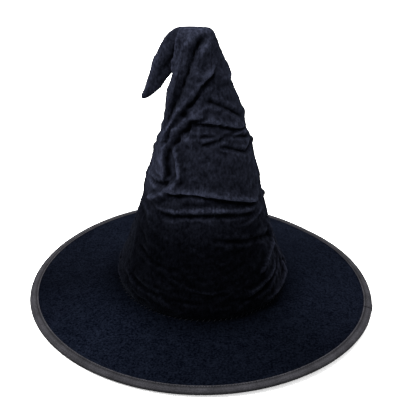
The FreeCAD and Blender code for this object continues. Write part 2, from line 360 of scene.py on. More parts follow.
def metal(name, colour, rough):
    material, tree, shader, place = new_material(name)
    streaks = noise(tree, place, 700.0, 3.0, 0.6, (1.0, 1.0, 0.1))
    dark = tuple(c * 0.7 for c in colour)
    tree.links.new(ramp(tree, streaks, 0.35, 0.65, dark, colour), shader.inputs["Base Color"])
    shader.inputs["Metallic"].default_value = 1.0
    shader.inputs["Roughness"].default_value = rough
    bump(tree, shader, streaks, 0.05, 0.4)
    return material


CROWN_VELVET = velvet("crown_velvet", (0.0016, 0.0018, 0.0030), (0.0066, 0.0074, 0.0118), 0.010, 330.0)
BRIM_VELVET = velvet("brim_velvet", (0.0001, 0.0002, 0.0007), (0.0021, 0.0028, 0.0051), 0.014, 430.0)
FELT = woven("felt", (0.005, 0.005, 0.006), (0.012, 0.012, 0.014), 400.0, None, 0.9, 0.02, 0.5, 0.0, 0.05)
LINING = woven("lining_cloth", (0.005, 0.005, 0.0065), (0.013, 0.013, 0.016), 900.0, (1, 1, 3), 0.6,
               0.02, 0.25, 0.0, 0.1)
UNDER = woven("under_cloth", (0.0045, 0.0045, 0.0058), (0.012, 0.012, 0.0145), 900.0, None, 0.8, 0.03)
RIBBON = woven("binding_ribbon", (0.0105, 0.0103, 0.0120), (0.0200, 0.0196, 0.0225), 700.0, None, 0.8,
               0.0, 0.2, 0.9, 0.03)
BAND = woven("band_ribbon", (0.006, 0.006, 0.007), (0.013, 0.013, 0.015), 700.0, None, 0.6, 0.02,
             0.2, 1.1, 0.1)
THREAD = woven("thread", (0.0025, 0.0025, 0.0032), (0.0090, 0.0090, 0.0110), 2500.0, None, 0.8, 0.0,
               0.1, 0.0, 0.04)
STEEL = metal("wire_steel", (0.55, 0.55, 0.56), 0.35)
BRASS = metal("ferrule_metal", (0.62, 0.48, 0.26), 0.4)

# ---- the brim ----

def brim_wave(x, y):
    """How far the brim's edge has sprung up from the floor, fading to nothing at the cone."""
    turn = np.arctan2(y, x)
    radius = np.hypot(x, y)
    edge = 2.6 - 2.4 * np.cos(2 * turn) - 1.6 * np.sin(2 * turn) - 1.8 * np.sin(3 * turn)
    return np.maximum(edge, 0.0) * ease(FOOT_RADIUS, BRIM_RADIUS + 25, radius) / \
        ease(FOOT_RADIUS, BRIM_RADIUS + 25, BRIM_RADIUS)


def brim_point(radius, turn, lift):
    """A point of the brim: turn is degrees from the front, lift is above its lower face."""
    turn = np.radians(turn)
    x = radius * np.sin(turn)
    y = -radius * np.cos(turn)
    z = lift + (REST_RADIUS - radius) * math.tan(BRIM_SLOPE) + brim_wave(x, y)
    return np.stack(np.broadcast_arrays(x, y, z), -1)


def brim_section(name, section, material, columns=360, node=None):
    """Sweep a closed outline of (radius, lift) round the brim."""
    turns = np.linspace(0, 360, columns, endpoint=False)
    grid = np.stack([brim_point(radius, turns, lift) for radius, lift in section + section[:1]])
    piece = grid_piece(name, grid, True, material)
    weld(piece)
    if node:
        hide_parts(node)
    return piece


def layer(inner, outer, lift, thick, steps):
    """Closed outline of one layer of the brim, from the hole outwards and back."""
    radii = np.linspace(inner, outer, steps)
    above = [(r, lift + thick) for r in radii[::-1]]
    below = [(r, lift) for r in radii]
    return below + above


# Painted sheen and shade on the brim: angle from the front, and tone.
BRIM_SHEEN_AND_SHADE = [(-180, 1.25), (-140, 1.5), (-90, 0.85), (-45, 2.0), (-15, 1.4), (0, 1.15), (40, 0.85),
            (90, 1.8), (140, 1.6), (180, 1.25)]
FOOT_SHADOW_FROM, FOOT_SHADOW_TO = 134, 96      # radii between which a painted shadow darkens the brim towards the cone


def make_brim():
    hole = HOLE_RADIUS + 0.4
    edge = CORE_RADIUS
    top = brim_section("brim_velvet_top", layer(hole, edge, VELVET_LIFT, VELVET_THICK, 46),
                       BRIM_VELVET, 420, "brim_top_velvet")
    spots = np.array([v.co[:2] for v in top.data.vertices])
    turn = np.degrees(np.arctan2(spots[:, 0], -spots[:, 1]))
    # Painted sheen and shade by angle round the brim, times a painted shadow near the cone's foot.
    foot_shadow = 1 - 0.5 * ease(FOOT_SHADOW_FROM, FOOT_SHADOW_TO, np.hypot(*spots.T) / MM)
    set_tone(top, np.interp(turn, *zip(*BRIM_SHEEN_AND_SHADE)) * foot_shadow)
    core = brim_section("brim_felt_core", layer(hole, edge, CORE_LIFT, CORE_THICK, 16),
                        FELT, 240, "brim_core")
    under = brim_section("brim_cloth_under", layer(hole, edge, UNDER_LIFT, UNDER_THICK, 30),
                         UNDER, 300, "brim_under_cloth")


JOIN_TURN = 81.0                # where the binding's two ends lap, and the wire's
LAP_HALF = 1.5                  # degrees that the lap reaches to each side of the join


def binding_section(grow):
    """Closed outline of the folded ribbon, and the colour scale at each of its points, which paints shade
    and highlight.
    """
    inner = BRIM_RADIUS - BINDING_WIDTH
    thick = BINDING_THICK
    high = COVER_LIFT + thick + grow
    bend = np.linspace(-90, 90, 11)
    middle = reach = high / 2
    inside = REST_RADIUS - 0.5
    # The underside and the lower round edge are painted darker, as shade.
    outline = [(r, -grow, 0.8) for r in np.linspace(inner, REST_RADIUS, 5)]
    outline += [(REST_RADIUS + (EDGE_ROUND + grow) * math.cos(math.radians(a)),
                 middle + (reach + grow / 2) * math.sin(math.radians(a)),
                 0.25 + 0.75 * ease(-10, 80, a)) for a in bend]
    outline += [(r, high, 1.0 + 0.15 * math.sin(1.7 * r))
                for r in np.linspace(REST_RADIUS, inner + 3.2, 8)]
    # The stitched groove, darker with painted shade, and the turned inner edge, lighter with a painted
    # highlight.
    outline += [(inner + 2.6, high - 0.25, 0.45), (inner + 2.0, high - 0.25, 0.45),
                (inner + 1.3, high, 1.15), (inner + 0.6, high + 0.12, 1.35),
                (inner + 0.1, high + 0.10, 1.4), (inner - 0.15, high - thick / 2, 0.8)]
    outline += [(r, high - thick, 0.8) for r in np.linspace(inner, inside, 5)]
    outline += [(inside + (EDGE_ROUND + 0.5 - thick) * math.cos(math.radians(a)),
                 middle + (reach - thick) * math.sin(math.radians(a)), 0.8) for a in bend[::-1]]
    outline += [(r, thick - grow, 0.8) for r in np.linspace(inside, inner, 4)]
    return outline + outline[:1]


def ribbon_round_edge(name, turns, grow, wrap):
    """The folded ribbon swept along the brim's edge, a little puckered where it is stitched."""
    outline = binding_section(grow)
    inner = BRIM_RADIUS - BINDING_WIDTH
    grid = []
    pucker = 0.10 * np.sin(np.radians(turns) * 137) + 0.06 * np.sin(np.radians(turns) * 61 + 1)
    for radius, lift, _ in outline:
        nearer = ease(inner + 5, inner, radius) * (1 if lift > 2 else -0.4)
        grid.append(brim_point(radius, turns, lift + pucker * nearer))
    rows, columns = len(outline), len(turns)
    faces = grid_faces(rows, columns, wrap)
    if not wrap:
        faces.append(tuple(r * columns for r in range(rows - 1)))
        faces.append(tuple(r * columns + columns - 1 for r in reversed(range(rows - 1))))
    piece = mesh_piece(name, np.stack(grid).reshape(-1, 3), faces, RIBBON)
    # The outline's painted shade and highlight, times an uneven tone along the ribbon.
    light = np.array([row[2] for row in outline])[:, None]
    uneven = 1 + 0.10 * np.sin(np.radians(turns) * 23 + 2) + 0.07 * np.sin(np.radians(turns) * 57)
    set_tone(piece, light * uneven[None])
    along = np.broadcast_to(np.radians(turns) * BRIM_RADIUS, (rows, columns))
    set_tone(piece, along, "along")
    weld(piece)
    return piece


def make_binding():
    turns = JOIN_TURN + np.linspace(0, 360, 900, endpoint=False)
    binding = ribbon_round_edge("edge_binding_ribbon", turns, 0.0, True)
    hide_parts("edge_binding")
    turns = JOIN_TURN + np.linspace(-LAP_HALF, LAP_HALF, 9)
    lap = ribbon_round_edge("edge_binding_lap", turns, 0.7, False)
    radii = np.linspace(BRIM_RADIUS - BINDING_WIDTH + 0.8, BRIM_RADIUS - 2.2, 20)
    line = brim_point(radii, JOIN_TURN - 1.1, COVER_LIFT + BINDING_THICK + 0.75)
    upwards = np.tile([0.0, 0, 1.0], (len(line), 1))
    bar = stitches("binding_lap_stitches", line, upwards, 1.6, 1.3, BRIM_THREAD, THREAD)


def ring_line(radius, lift, start=0.0, stop=360.0, count=721):
    """Points along a ring of the brim, and the brim's upward normal at each."""
    turns = np.linspace(start, stop, count)
    line = brim_point(radius, turns, lift)
    inner = brim_point(radius - 1.0, turns, lift)
    outer = brim_point(radius + 1.0, turns, lift)
    along = np.gradient(line, axis=0)
    normal = np.cross(outer - inner, along)
    normal /= np.linalg.norm(normal, axis=1)[:, None]
    return line, normal * np.sign(normal[:, 2:3])


def make_brim_stitches():
    radius = BRIM_RADIUS - BINDING_WIDTH + STITCH_INSET
    line, normal = ring_line(radius, COVER_LIFT + BINDING_THICK)
    top = stitches("binding_stitches_top", line, normal, 3.0, 2.5, BRIM_THREAD, THREAD)
    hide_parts("binding_top_thread")
    line, normal = ring_line(radius, 0.0)
    below = stitches("binding_stitches_below", line, -normal, 3.0, 2.5, BRIM_THREAD, THREAD)
    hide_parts("binding_bottom_thread")


def tube(name, line, radius, material, sides=10, closed=True):
    """A round rod along a line of points near level ground."""
    along = np.gradient(line, axis=0)
    if closed:
        along = np.roll(line, -1, 0) - np.roll(line, 1, 0)
    along /= np.linalg.norm(along, axis=1)[:, None]
    side = np.cross(along, [0, 0, 1.0])
    side /= np.linalg.norm(side, axis=1)[:, None]
    up = np.cross(side, along)
    angles = np.linspace(0, 2 * np.pi, sides, endpoint=False)
    rings = (line[:, None] + (side[:, None] * np.cos(angles)[None, :, None]
                              + up[:, None] * np.sin(angles)[None, :, None]) * radius)
    rows = len(line)
    faces = grid_faces(rows, sides, True)
    if closed:
        last = (rows - 1) * sides
        for s in range(sides):
            n = (s + 1) % sides
            faces.append((last + s, last + n, n, s))
    else:
        faces.append(tuple(reversed(range(sides))))
        faces.append(tuple((rows - 1) * sides + s for s in range(sides)))
    return mesh_piece(name, rings.reshape(-1, 3), faces, material)


def make_wire():
    """The ring of wire in the brim's edge, and the crimped tube that joins its ends."""
    low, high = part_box("brim_wire")
    dia = (high.z - low.z) / MM
    radius = high.x / MM - dia / 2
    lift = (high.z + low.z) / 2 / MM
    line = ring_line(radius, lift, 0.0, 360.0, 361)[0]
    wire = tube("edge_wire", line[:-1], dia / 2, STEEL)
    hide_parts("brim_wire")
    line = ring_line(radius, lift, JOIN_TURN - 1.7, JOIN_TURN + 1.7, 13)[0]
    swell = tube("wire_crimp", line, 1.15, BRASS, 12, False)
    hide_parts("wire_ferrule")


# ---- the cone ----

# Cross-sections of the cone: height, half its width, middle across X, depth over width,
# middle along Y.
CONE = [
    (23.6, 93.6, 0.0, 1.0, 0.0),
    (26.0, 96.6, 0.0, 1.0, 0.0),
    (32.0, 98.4, 0.0, 1.0, 0.0),
    (40.0, 98.4, 0.0, 1.0, 0.0),
    (52.0, 95.4, -0.3, 1.0, 0.0),
    (71.0, 89.0, -0.8, 1.0, 0.0),
    (95.0, 81.0, -1.0, 1.0, 0.0),
    (117.0, 75.0, -1.0, 1.0, 0.0),
    (139.0, 69.3, -0.6, 1.0, 0.0),
    (160.0, 64.5, -1.2, 0.99, 0.0),
    (180.0, 59.5, -1.6, 0.98, 0.0),
    (200.0, 54.8, -0.8, 0.97, 0.0),
    (216.0, 49.5, -1.0, 0.96, 0.0),
    (238.0, 46.3, -1.6, 0.95, 0.0),
    (253.0, 42.6, -3.2, 0.94, 0.0),
    (267.0, 38.2, -5.0, 0.92, 0.5),
    (281.0, 32.5, -4.2, 0.90, 1.0),
    (292.0, 29.0, -3.8, 0.88, 2.0),
    (303.0, 25.6, -5.8, 0.86, 3.0),
    (314.0, 22.5, -8.3, 0.84, 4.0),
    (322.0, 21.2, -10.4, 0.70, 5.0),
    (328.0, 19.6, -12.0, 0.52, 5.5),
    (331.5, 18.3, -13.2, 0.34, 6.0),
    (333.4, 17.4, -13.8, 0.14, 6.0),
    (333.7, 16.8, -14.0, 0.02, 6.0),
]


def cone_profile(count):
    return through(CONE, count)


def cone_grid(rows, columns):
    """Points of the smooth cone before any fold, rows upwards and columns round from the front."""
    profile = cone_profile(rows)
    turns = np.radians(np.linspace(-180, 180, columns, endpoint=False))
    z, width, middle, ratio, back = (profile[:, k:k + 1] for k in range(5))
    x = middle + width * np.sin(turns)
    y = back - width * ratio * np.cos(turns)
    return np.stack([x, y, np.broadcast_to(z, x.shape)], -1)


def on_cone(turn, height):
    """The point of the smooth cone at an angle from the front and a height."""
    table = on_cone.table
    width, middle, ratio, back = (np.interp(height, table[:, 0], table[:, k]) for k in range(1, 5))
    angle = math.radians(turn)
    return np.array([middle + width * math.sin(angle),
                     back - width * ratio * math.cos(angle), height])


on_cone.table = cone_profile(300)

# Folds of the velvet: kind, height of the fold, its half width, then points (angle, height).
# A ridge stands out, a crease goes in, and a lap stands out above its line and drops at it.
FRONT_FOLDS = [
    ("ridge", 5.0, 2.8, [(-60, 331), (-66, 320), (-76, 306), (-82, 292), (-86, 280)]),
    ("crease", 7.4, 4.4, [(34, 336), (8, 324), (-17, 313), (-36, 295), (-43, 269), (-54, 246),
                          (-66, 226)]),
    ("lap", 5.2, 4.4, [(52, 298), (30, 293), (1, 282), (-15, 267), (-33, 251), (-49, 231), (-58, 214),
                       (-68, 202)]),
    ("lap", 6.4, 5.8, [(14, 250), (2, 249), (-17, 246), (-29, 236), (-41, 223), (-48, 210), (-48, 201),
                       (-43, 190), (-41, 177), (-44, 167)]),
    ("crease", 2.4, 2.4, [(2, 268), (14, 266), (35, 260), (62, 246), (76, 240)]),
    ("lap", 3.4, 2.6, [(84, 226), (58, 231), (27, 242), (-5, 245), (-20, 243)]),
    ("ridge", 2.4, 2.2, [(34, 229), (61, 228), (80, 222)]),
    ("crease", 1.8, 1.8, [(-22, 232), (-16, 232), (12, 233), (20, 233)]),
    ("crease", 1.9, 1.8, [(24, 233), (31, 232), (57, 224), (82, 214)]),
    ("crease", 1.7, 1.8, [(-6, 222), (4, 224), (26, 228), (34, 230)]),
    ("crease", 2.2, 2.0, [(20, 222), (29, 219), (66, 204), (88, 205)]),
    ("ridge", 6.4, 4.0, [(-48, 216), (-37, 209), (-29, 196), (-27, 187), (-31, 176), (-43, 163), (-59, 150),
                         (-70, 144)]),
    ("crease", 2.6, 2.2, [(-76, 166), (-67, 166), (-41, 174), (-34, 178)]),
    ("lap", 5.2, 3.4, [(70, 140), (57, 146), (36, 157), (16, 165), (-3, 170), (-36, 165), (-46, 163)]),
    ("ridge", 3.4, 2.6, [(-54, 144), (-41, 146), (0, 156), (51, 144), (64, 140)]),
    ("crease", 3.0, 2.2, [(-52, 139), (-40, 141), (0, 151), (51, 139), (62, 135)]),
    ("ridge", 2.2, 2.6, [(26, 136), (31, 134), (66, 131), (76, 130)]),
    ("crease", 2.4, 2.4, [(0, 128), (7, 125), (40, 113), (71, 99), (78, 96)]),
    ("ridge", 3.8, 3.4, [(66, 124), (74, 115), (78, 95), (79, 76), (83, 58), (80, 44), (68, 37), (54, 35),
                         (38, 34)]),
    ("ridge", 3.6, 1.6, [(84, 74), (90, 56), (92, 42), (84, 32), (70, 28), (54, 27), (36, 28)]),
    ("lap", 4.6, 2.8, [(80, 88), (67, 80), (55, 70), (46, 64)]),
    ("crease", 3.6, 2.4, [(78, 66), (66, 58), (52, 50), (38, 46), (26, 46)]),
    ("ridge", 2.6, 2.2, [(72, 62), (57, 58), (39, 54), (30, 54)]),
    ("ridge", 2.2, 2.6, [(-30, 78), (-8, 66), (18, 62)]),
    ("crease", 2.0, 2.6, [(-62, 92), (-36, 84), (-12, 86)]),
    ("crease", 2.0, 2.6, [(-70, 58), (-44, 50), (-16, 48), (10, 50)]),
]
BACK_FOLDS = [
    ("lap", 5.0, 4.4, [(150, 292), (172, 282), (196, 262), (222, 236), (246, 204)]),
    ("crease", 3.0, 3.4, [(128, 262), (150, 250), (186, 244), (214, 226)]),
    ("lap", 4.2, 3.8, [(110, 222), (138, 216), (170, 204), (206, 206)]),
    ("ridge", 3.6, 3.2, [(232, 198), (214, 184), (205, 168), (212, 152), (236, 142)]),
    ("crease", 2.6, 2.8, [(98, 204), (124, 196), (150, 194)]),
    ("lap", 4.6, 3.8, [(102, 142), (134, 158), (168, 164), (204, 156), (238, 146)]),
    ("crease", 2.8, 3.0, [(112, 132), (146, 140), (182, 138)]),
    ("ridge", 2.6, 3.2, [(196, 122), (228, 112), (256, 98)]),
    ("crease", 2.4, 3.0, [(120, 104), (156, 92), (186, 96)]),
    ("crease", 2.2, 2.8, [(206, 82), (240, 70), (262, 74)]),
    ("ridge", 2.4, 3.2, [(104, 78), (130, 62), (160, 56)]),
]

# Tacks pinch both side seams at these places.
TACKS = {
    "left_upper_tack": (-90, 194.0),
    "right_upper_tack": (90, 206.0),
    "left_lower_tack": (-90, 145.0),
    "right_lower_tack": (90, 138.0),
}


def fold_profile(kind, s):
    """Height across a fold of unit height, s half widths from its line."""
    if kind == "ridge":
        return np.exp(-s ** 2)
    if kind == "crease":
        return -np.exp(-s ** 2) + 0.35 * np.exp(-(np.abs(s) - 2.3) ** 2)
    return lap_crest(s) - 0.6 * np.exp(-(s / 0.8) ** 2)


def lap_crest(s):
    """The raised cloth beside a lap's line, steep towards the line and gentle behind."""
    return np.exp(-(np.maximum(s - 1.3, 0) / 2.0) ** 2) * ease(0.3, 1.3, s)


LEAN = 0.6                      # how far a lap's crest leans over its crease, per unit height


def fold_moves(points, normals, folds):
    """How far folds carry a set of points: along their normals, and bodily where a lap leans over."""
    heights = np.zeros(len(points))
    leans = np.zeros_like(points)
    for kind, height, width, route in folds:
        way = np.array([on_cone(turn, z) for turn, z in route])
        samples = through(way, max(12, int(8 * len(route))))
        tangent = np.gradient(samples, axis=0)
        tangent /= np.linalg.norm(tangent, axis=1)[:, None]
        reach = 5.0 * width
        low, high = samples.min(0) - reach, samples.max(0) + reach
        near = np.where(np.all((points > low) & (points < high), axis=1))[0]
        if not len(near):
            continue
        gap = points[near][:, None] - samples[None]
        which = (gap ** 2).sum(-1).argmin(1)
        offset = gap[np.arange(len(near)), which]
        side = np.cross(tangent[which], normals[near])
        side /= np.maximum(np.linalg.norm(side, axis=1), 1e-9)[:, None]
        s = (offset * side).sum(1) / width
        beyond = (offset * tangent[which]).sum(1)
        share = which / (len(samples) - 1.0)
        fade = ease(0.0, 0.18, share) * ease(1.0, 0.82, share) * np.exp(-(beyond / width) ** 2)
        heights[near] += height * fold_profile(kind, s) * fade
        if kind == "lap":
            leans[near] -= side * (LEAN * height * lap_crest(s) * fade)[:, None]
    return heights, leans


def crumpled_cone(rows, columns):
    """The cone with its folds and crumples, and the smooth cone's points and unit normals."""
    smooth = cone_grid(rows, columns)
    normals = grid_normals(smooth, True)
    points = smooth.reshape(-1, 3)
    heights, leans = fold_moves(points, normals.reshape(-1, 3), FRONT_FOLDS + BACK_FOLDS)
    for turn, tack_height in TACKS.values():
        away = points - on_cone(turn, tack_height)
        own = np.exp(-(away[:, 0] / 14.0) ** 2)
        pinch = own * np.exp(-(away[:, 1] / 2.6) ** 2 - (away[:, 2] / 5.0) ** 2)
        hollow = own * np.exp(-(away[:, 1] / 7.0) ** 2 - (away[:, 2] / 9.0) ** 2)
        heights += 5.2 * pinch - 2.2 * hollow
    heights += ripple(points * [1, 1, 1.9], 30.0, 3) * 0.9
    heights += ripple(points * [1, 1, 1.6], 14.0, 5) * 0.45
    calm = ease(23.5, 33, points[:, 2]) * ease(335, 322, points[:, 2])
    move = normals.reshape(-1, 3) * (heights * calm)[:, None] + leans * calm[:, None]
    return smooth + move.reshape(smooth.shape), smooth, normals


def cubic_rows(field, count, wrap):
    """A field resampled smoothly along its first axis."""
    have = len(field)
    where = np.arange(count) * (have / count if wrap else (have - 1) / (count - 1.0))
    base = np.floor(where).astype(int)
    t = (where - base).reshape(-1, *[1] * (field.ndim - 1))
    picks = [base + step for step in (-1, 0, 1, 2)]
    a, b, c, d = (field[pick % have if wrap else np.clip(pick, 0, have - 1)] for pick in picks)
    return 0.5 * (2 * b + (c - a) * t + (2 * a - 5 * b + 4 * c - d) * t ** 2
                  + (3 * b - a - 3 * c + d) * t ** 3)


def finer(field, rows, columns):
    """A field on a coarse grid of the cone, resampled onto a finer one."""
    tall = cubic_rows(field, rows, False)
    return np.swapaxes(cubic_rows(np.swapaxes(tall, 0, 1), columns, True), 0, 1)


def blurred(field, rounds):
    """A field on a grid of the cone, averaged with its neighbours."""
    for _ in range(rounds):
        round_way = (np.roll(field, 1, 1) + np.roll(field, -1, 1)) / 2
        tall = np.pad(field, ((1, 1), (0, 0)), mode="edge")
        field = (2 * field + round_way + (tall[2:] + tall[:-2]) / 2) / 4
    return field


# Cloth simulation of the cone: how much cloth there is to spare, and how it is held.
SIM_ROWS, SIM_COLUMNS = 100, 156
SIM_FRAMES = 16
SPARE_HEIGHT = 1.07
SPARE_ROUND = 1.02
HOLD = 0.10                     # share of full hold that keeps the cone near its shape
DEEPEST_IN, FURTHEST_OUT = 1.8, 5.0


def settle(piece, flat_points, hold):
    """Run Blender's cloth on a mesh that has more cloth than room, and keep what it comes to.

    flat_points is the shape that the cloth was cut to; hold is each point's pin weight.
    """
    piece.shape_key_add(name="Basis")
    cut = piece.shape_key_add(name="cut")
    cut.data.foreach_set("co", (flat_points * MM).astype(np.float32).ravel())
    cut.value = 0.0
    group = piece.vertex_groups.new(name="held")
    for step in np.unique(np.round(hold, 3)):
        members = np.where(np.round(hold, 3) == step)[0].tolist()
        group.add(members, float(step), "REPLACE")
    cloth = piece.modifiers.new("cloth", "CLOTH")
    made = cloth.settings
    made.quality = 6
    made.mass = 0.25
    made.tension_stiffness = 20
    made.compression_stiffness = 20
    made.shear_stiffness = 8
    made.bending_stiffness = 0.4
    made.tension_damping = 12
    made.compression_damping = 12
    made.shear_damping = 8
    made.bending_damping = 1.0
    made.air_damping = 4
    made.vertex_group_mass = "held"
    made.pin_stiffness = 1.0
    made.rest_shape_key = cut
    made.effector_weights.gravity = 0.35
    cloth.collision_settings.use_collision = False
    cloth.point_cache.frame_start = 1
    cloth.point_cache.frame_end = SIM_FRAMES
    scene = bpy.context.scene
    for number in range(1, SIM_FRAMES + 1):
        scene.frame_set(number)
    graph = bpy.context.evaluated_depsgraph_get()
    settled = piece.evaluated_get(graph).data
    spots = np.zeros(len(settled.vertices) * 3, np.float32)
    settled.vertices.foreach_get("co", spots)
    piece.modifiers.remove(cloth)
    piece.shape_key_clear()
    scene.frame_set(1)
    return spots.reshape(-1, 3).astype(float) / MM


def buckles():
    """How far spare cloth buckles away from the crumpled cone, on the simulation's grid."""
    grid, smooth, normals = crumpled_cone(SIM_ROWS, SIM_COLUMNS)
    cut = smooth * [SPARE_ROUND, SPARE_ROUND, SPARE_HEIGHT]
    height = smooth[..., 2]
    held = HOLD + ease(40, 24, height) + ease(312, 330, height)
    for turn, tack_height in TACKS.values():
        gap = np.linalg.norm(smooth - on_cone(turn, tack_height), axis=-1)
        held = held + ease(7, 2, gap)
    cloth = grid_piece("cone_cloth", grid, True, CROWN_VELVET, None)
    settled = settle(cloth, cut.reshape(-1, 3), np.clip(held, 0, 1).ravel())
    bpy.data.objects.remove(cloth)
    move = settled.reshape(grid.shape) - grid
    out = (move * normals).sum(-1, keepdims=True)
    capped = FURTHEST_OUT * np.tanh(np.maximum(out, 0) / FURTHEST_OUT) \
        + DEEPEST_IN * np.tanh(np.minimum(out, 0) / DEEPEST_IN)
    return move + normals * (capped - out)


def cone_surface(rows, columns):
    """The velvet of the cone on a fine grid, the painted light and shade that scale its colour, and the
    cloth behind it.
    """
    grid, smooth, normals = crumpled_cone(rows, columns)
    grid = grid + finer(buckles(), rows, columns)
    height = smooth[..., 2]
    relief = ((grid - smooth) * normals).sum(-1)
    crest = np.clip((relief - blurred(relief, 26)) / 1.1, -1.3, 1.7)
    crest = np.sign(crest) * np.maximum(np.abs(crest) - 0.15, 0)
    # Painted shade makes the velvet darkest low on the front. Painted light makes it lighter at the very
    # top and down the left edge, and painted shade a little darker in a strip beside the upper folds. left
    # is degrees leftwards.
    left = np.degrees(np.arctan2(-smooth[..., 0], -smooth[..., 1]))
    low_shade = ease(185, 100, height) * (0.55 + 0.45 * ease(-75, -45, left) * ease(125, 45, left))
    level = (1 - 0.84 * low_shade) * (1 + 0.15 * ease(230, 330, height) + 1.2 * ease(328, 333, height))
    lower_edge = ease(42, 66, left) * ease(118, 66, left)
    level += 0.8 * lower_edge * ease(140, 160, height) * ease(250, 205, height)
    level += 0.7 * ease(58, 76, left) * ease(118, 96, left) * ease(250, 266, height)
    strip = ease(20, 36, left) * ease(66, 52, left)
    level -= 0.3 * strip * ease(236, 250, height) * ease(300, 282, height)
    # Painted highlight on the crests and painted shade in the creases scale the colour.
    tone = level * np.where(crest > 0, 1 + 1.5 * crest, 1 + 0.75 * crest)
    seam_gap = np.abs(smooth[..., 1:2] - seam_line(smooth)[..., 1:2])
    grid = grid - normals * 1.1 * np.exp(-(seam_gap / 1.5) ** 2)
    # The cloth behind follows the lowest velvet near each point.
    lowest = np.minimum(relief, 0.5 * relief)
    for step in range(-5, 6):
        for turn in range(-5, 6):
            lowest = np.minimum(lowest, np.roll(np.roll(relief, step, 0), turn, 1))
    backing = smooth + normals * blurred(lowest, 4)[..., None]
    return grid, np.clip(tone, 0.1, 3.0), backing[::2, ::2], normals[::2, ::2]


def seam_line(smooth):
    """For each row of the smooth cone, its point on the right-hand seam."""
    return smooth[:, 3 * smooth.shape[1] // 4][:, None]


def make_cone_stitches(grid):
    """Small stitches down both side seams, tacks across the pinches, and whip stitches at the foot."""
    normals = grid_normals(grid, True)
    quarter = grid.shape[1] // 4
    for side, column in (("left", quarter), ("right", 3 * quarter)):
        line, out = grid[4:-6, column], normals[4:-6, column]
        seam = stitches(side + "_seam_stitches", line, out, 3.6, 2.2, SEAM_THREAD, THREAD)
        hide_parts(side + "_seam_thread")
    for tack, (turn, height) in TACKS.items():
        column = quarter if turn < 0 else 3 * quarter
        row = int(np.abs(grid[:, column, 2] - height).argmin())
        rows = slice(row - 4, row + 5)
        line, out = grid[rows, column], normals[rows, column]
        strands = stitches(tack + "_strands", line, out, 1.25, 5.5, TACK_THREAD, THREAD, turn=90.0,
                           sink=1.6)
        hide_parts(tack)
    turns = np.linspace(0, 360, 721)
    foot = np.radians(turns)
    radius = FOOT_RADIUS + 3.6
    line = np.stack([radius * np.sin(foot), -radius * np.cos(foot), np.full(721, 24.6)], -1)
    out = np.stack([np.sin(foot), -np.cos(foot), np.full(721, 1.2)], -1)
    whip = stitches("foot_whip_stitches", line, out, 6.5, 4.0, BRIM_THREAD, THREAD, turn=38.0)
    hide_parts("base_seam_thread")


def make_sweatband():
    """The ribbon inside the head opening, and the stitches round it."""
    low, high = BAND_LOW.z / MM, BAND_HIGH.z / MM
    outer = HOLE_RADIUS
    inner = outer - 0.8
    heights = np.linspace(low, high, 12)
    outline = [(inner, z) for z in heights] + [(outer, z) for z in heights[::-1]]
    outline += outline[:1]
    turns = np.linspace(0, 360, 360, endpoint=False)
    angle = np.radians(turns)
    wave = 0.15 * np.sin(11 * angle) + 0.1 * np.sin(29 * angle + 1)
    grid = []
    for radius, z in outline:
        out = radius + wave * ease(low, high, z)
        grid.append(np.stack([out * np.sin(angle), -out * np.cos(angle), np.full(360, z)], -1))
    band = grid_piece("sweatband_ribbon", np.stack(grid), True, BAND)
    set_tone(band, np.ones((len(outline), 360)))
    set_tone(band, np.broadcast_to(angle * inner, (len(outline), 360)), "along")
    weld(band)
    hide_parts("sweatband")
    middle = (low + high) / 2
    wave = wave * ease(low, high, middle)
    line = np.stack([(inner + wave) * np.sin(angle), -(inner + wave) * np.cos(angle),
                     np.full(360, middle)], -1)
    out = np.stack([-np.sin(angle), np.cos(angle), np.zeros(360)], -1)
    ring = stitches("sweatband_stitches", line, out, 3.2, 2.4, SEAM_THREAD, THREAD)
    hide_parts("sweatband_thread")


CONE_ROWS, CONE_COLUMNS = 250, 400


def make_cone():
    """Front and back halves of the velvet, the felt behind it and the lining."""
    columns = CONE_COLUMNS
    grid, tone, backing, backing_normals = cone_surface(CONE_ROWS, columns)
    make_cone_stitches(grid)
    quarter = columns // 4
    halves = {
        "front": list(range(quarter, 3 * quarter + 1)),
        "back": [k % columns for k in range(3 * quarter, 5 * quarter + 1)],
    }
    for end, columns_used in halves.items():
        piece = grid_piece("cone_velvet_" + end, grid[:, columns_used], False, CROWN_VELVET)
        set_tone(piece, tone[:, columns_used])
        thicken(piece, 0.8)
        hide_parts("crown_%s_panel" % end)
    foot = ease(22, 60, backing[..., 2:3])
    columns = backing.shape[1]
    for name, node, deep, at_foot, material, slot, thick in (
            ("cone_felt_", "crown_%s_interlining", 3.2, 1.0, FELT, "interlining_felt", 1.6),
            ("cone_lining_", "lining_%s_panel", 5.2, 2.9, LINING, "lining_cloth", 0.5)):
        sunk = backing - backing_normals * (deep * foot + at_foot * (1 - foot))
        for end, first in (("front", columns // 4), ("back", 3 * columns // 4)):
            columns_used = [(first + k) % columns for k in range(columns // 2 + 1)]
            piece = grid_piece(name + end, sunk[2:-8, columns_used], False, material)
            thicken(piece, thick)
            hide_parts(node % end)


# ---- the folded tip ----

# Stations along the tip: its outer edge (x, z), its inner edge (x, z), middle along Y, half depth.
TIP_LINE = [
    (-2.0, 331.0, -2.0, 303.0, 7.0, 6.5),
    (-14.0, 333.0, -12.0, 298.0, 7.0, 8.0),
    (-29.5, 332.7, -18.5, 296.0, 7.5, 9.0),
    (-44.6, 323.0, -24.0, 294.0, 7.5, 9.0),
    (-53.0, 306.6, -29.0, 290.8, 7.0, 8.5),
    (-58.7, 294.0, -37.0, 282.2, 6.0, 7.8),
    (-62.2, 281.0, -44.0, 272.0, 4.5, 6.8),
    (-66.0, 269.6, -52.5, 262.0, 3.0, 5.4),
    (-69.4, 260.0, -60.6, 254.6, 1.5, 3.8),
    (-71.0, 255.2, -65.4, 252.0, 0.8, 2.4),
    (-71.0, 252.6, -68.4, 251.2, 0.5, 1.3),
    (-70.2, 251.1, -70.0, 251.0, 0.5, 0.1),
]


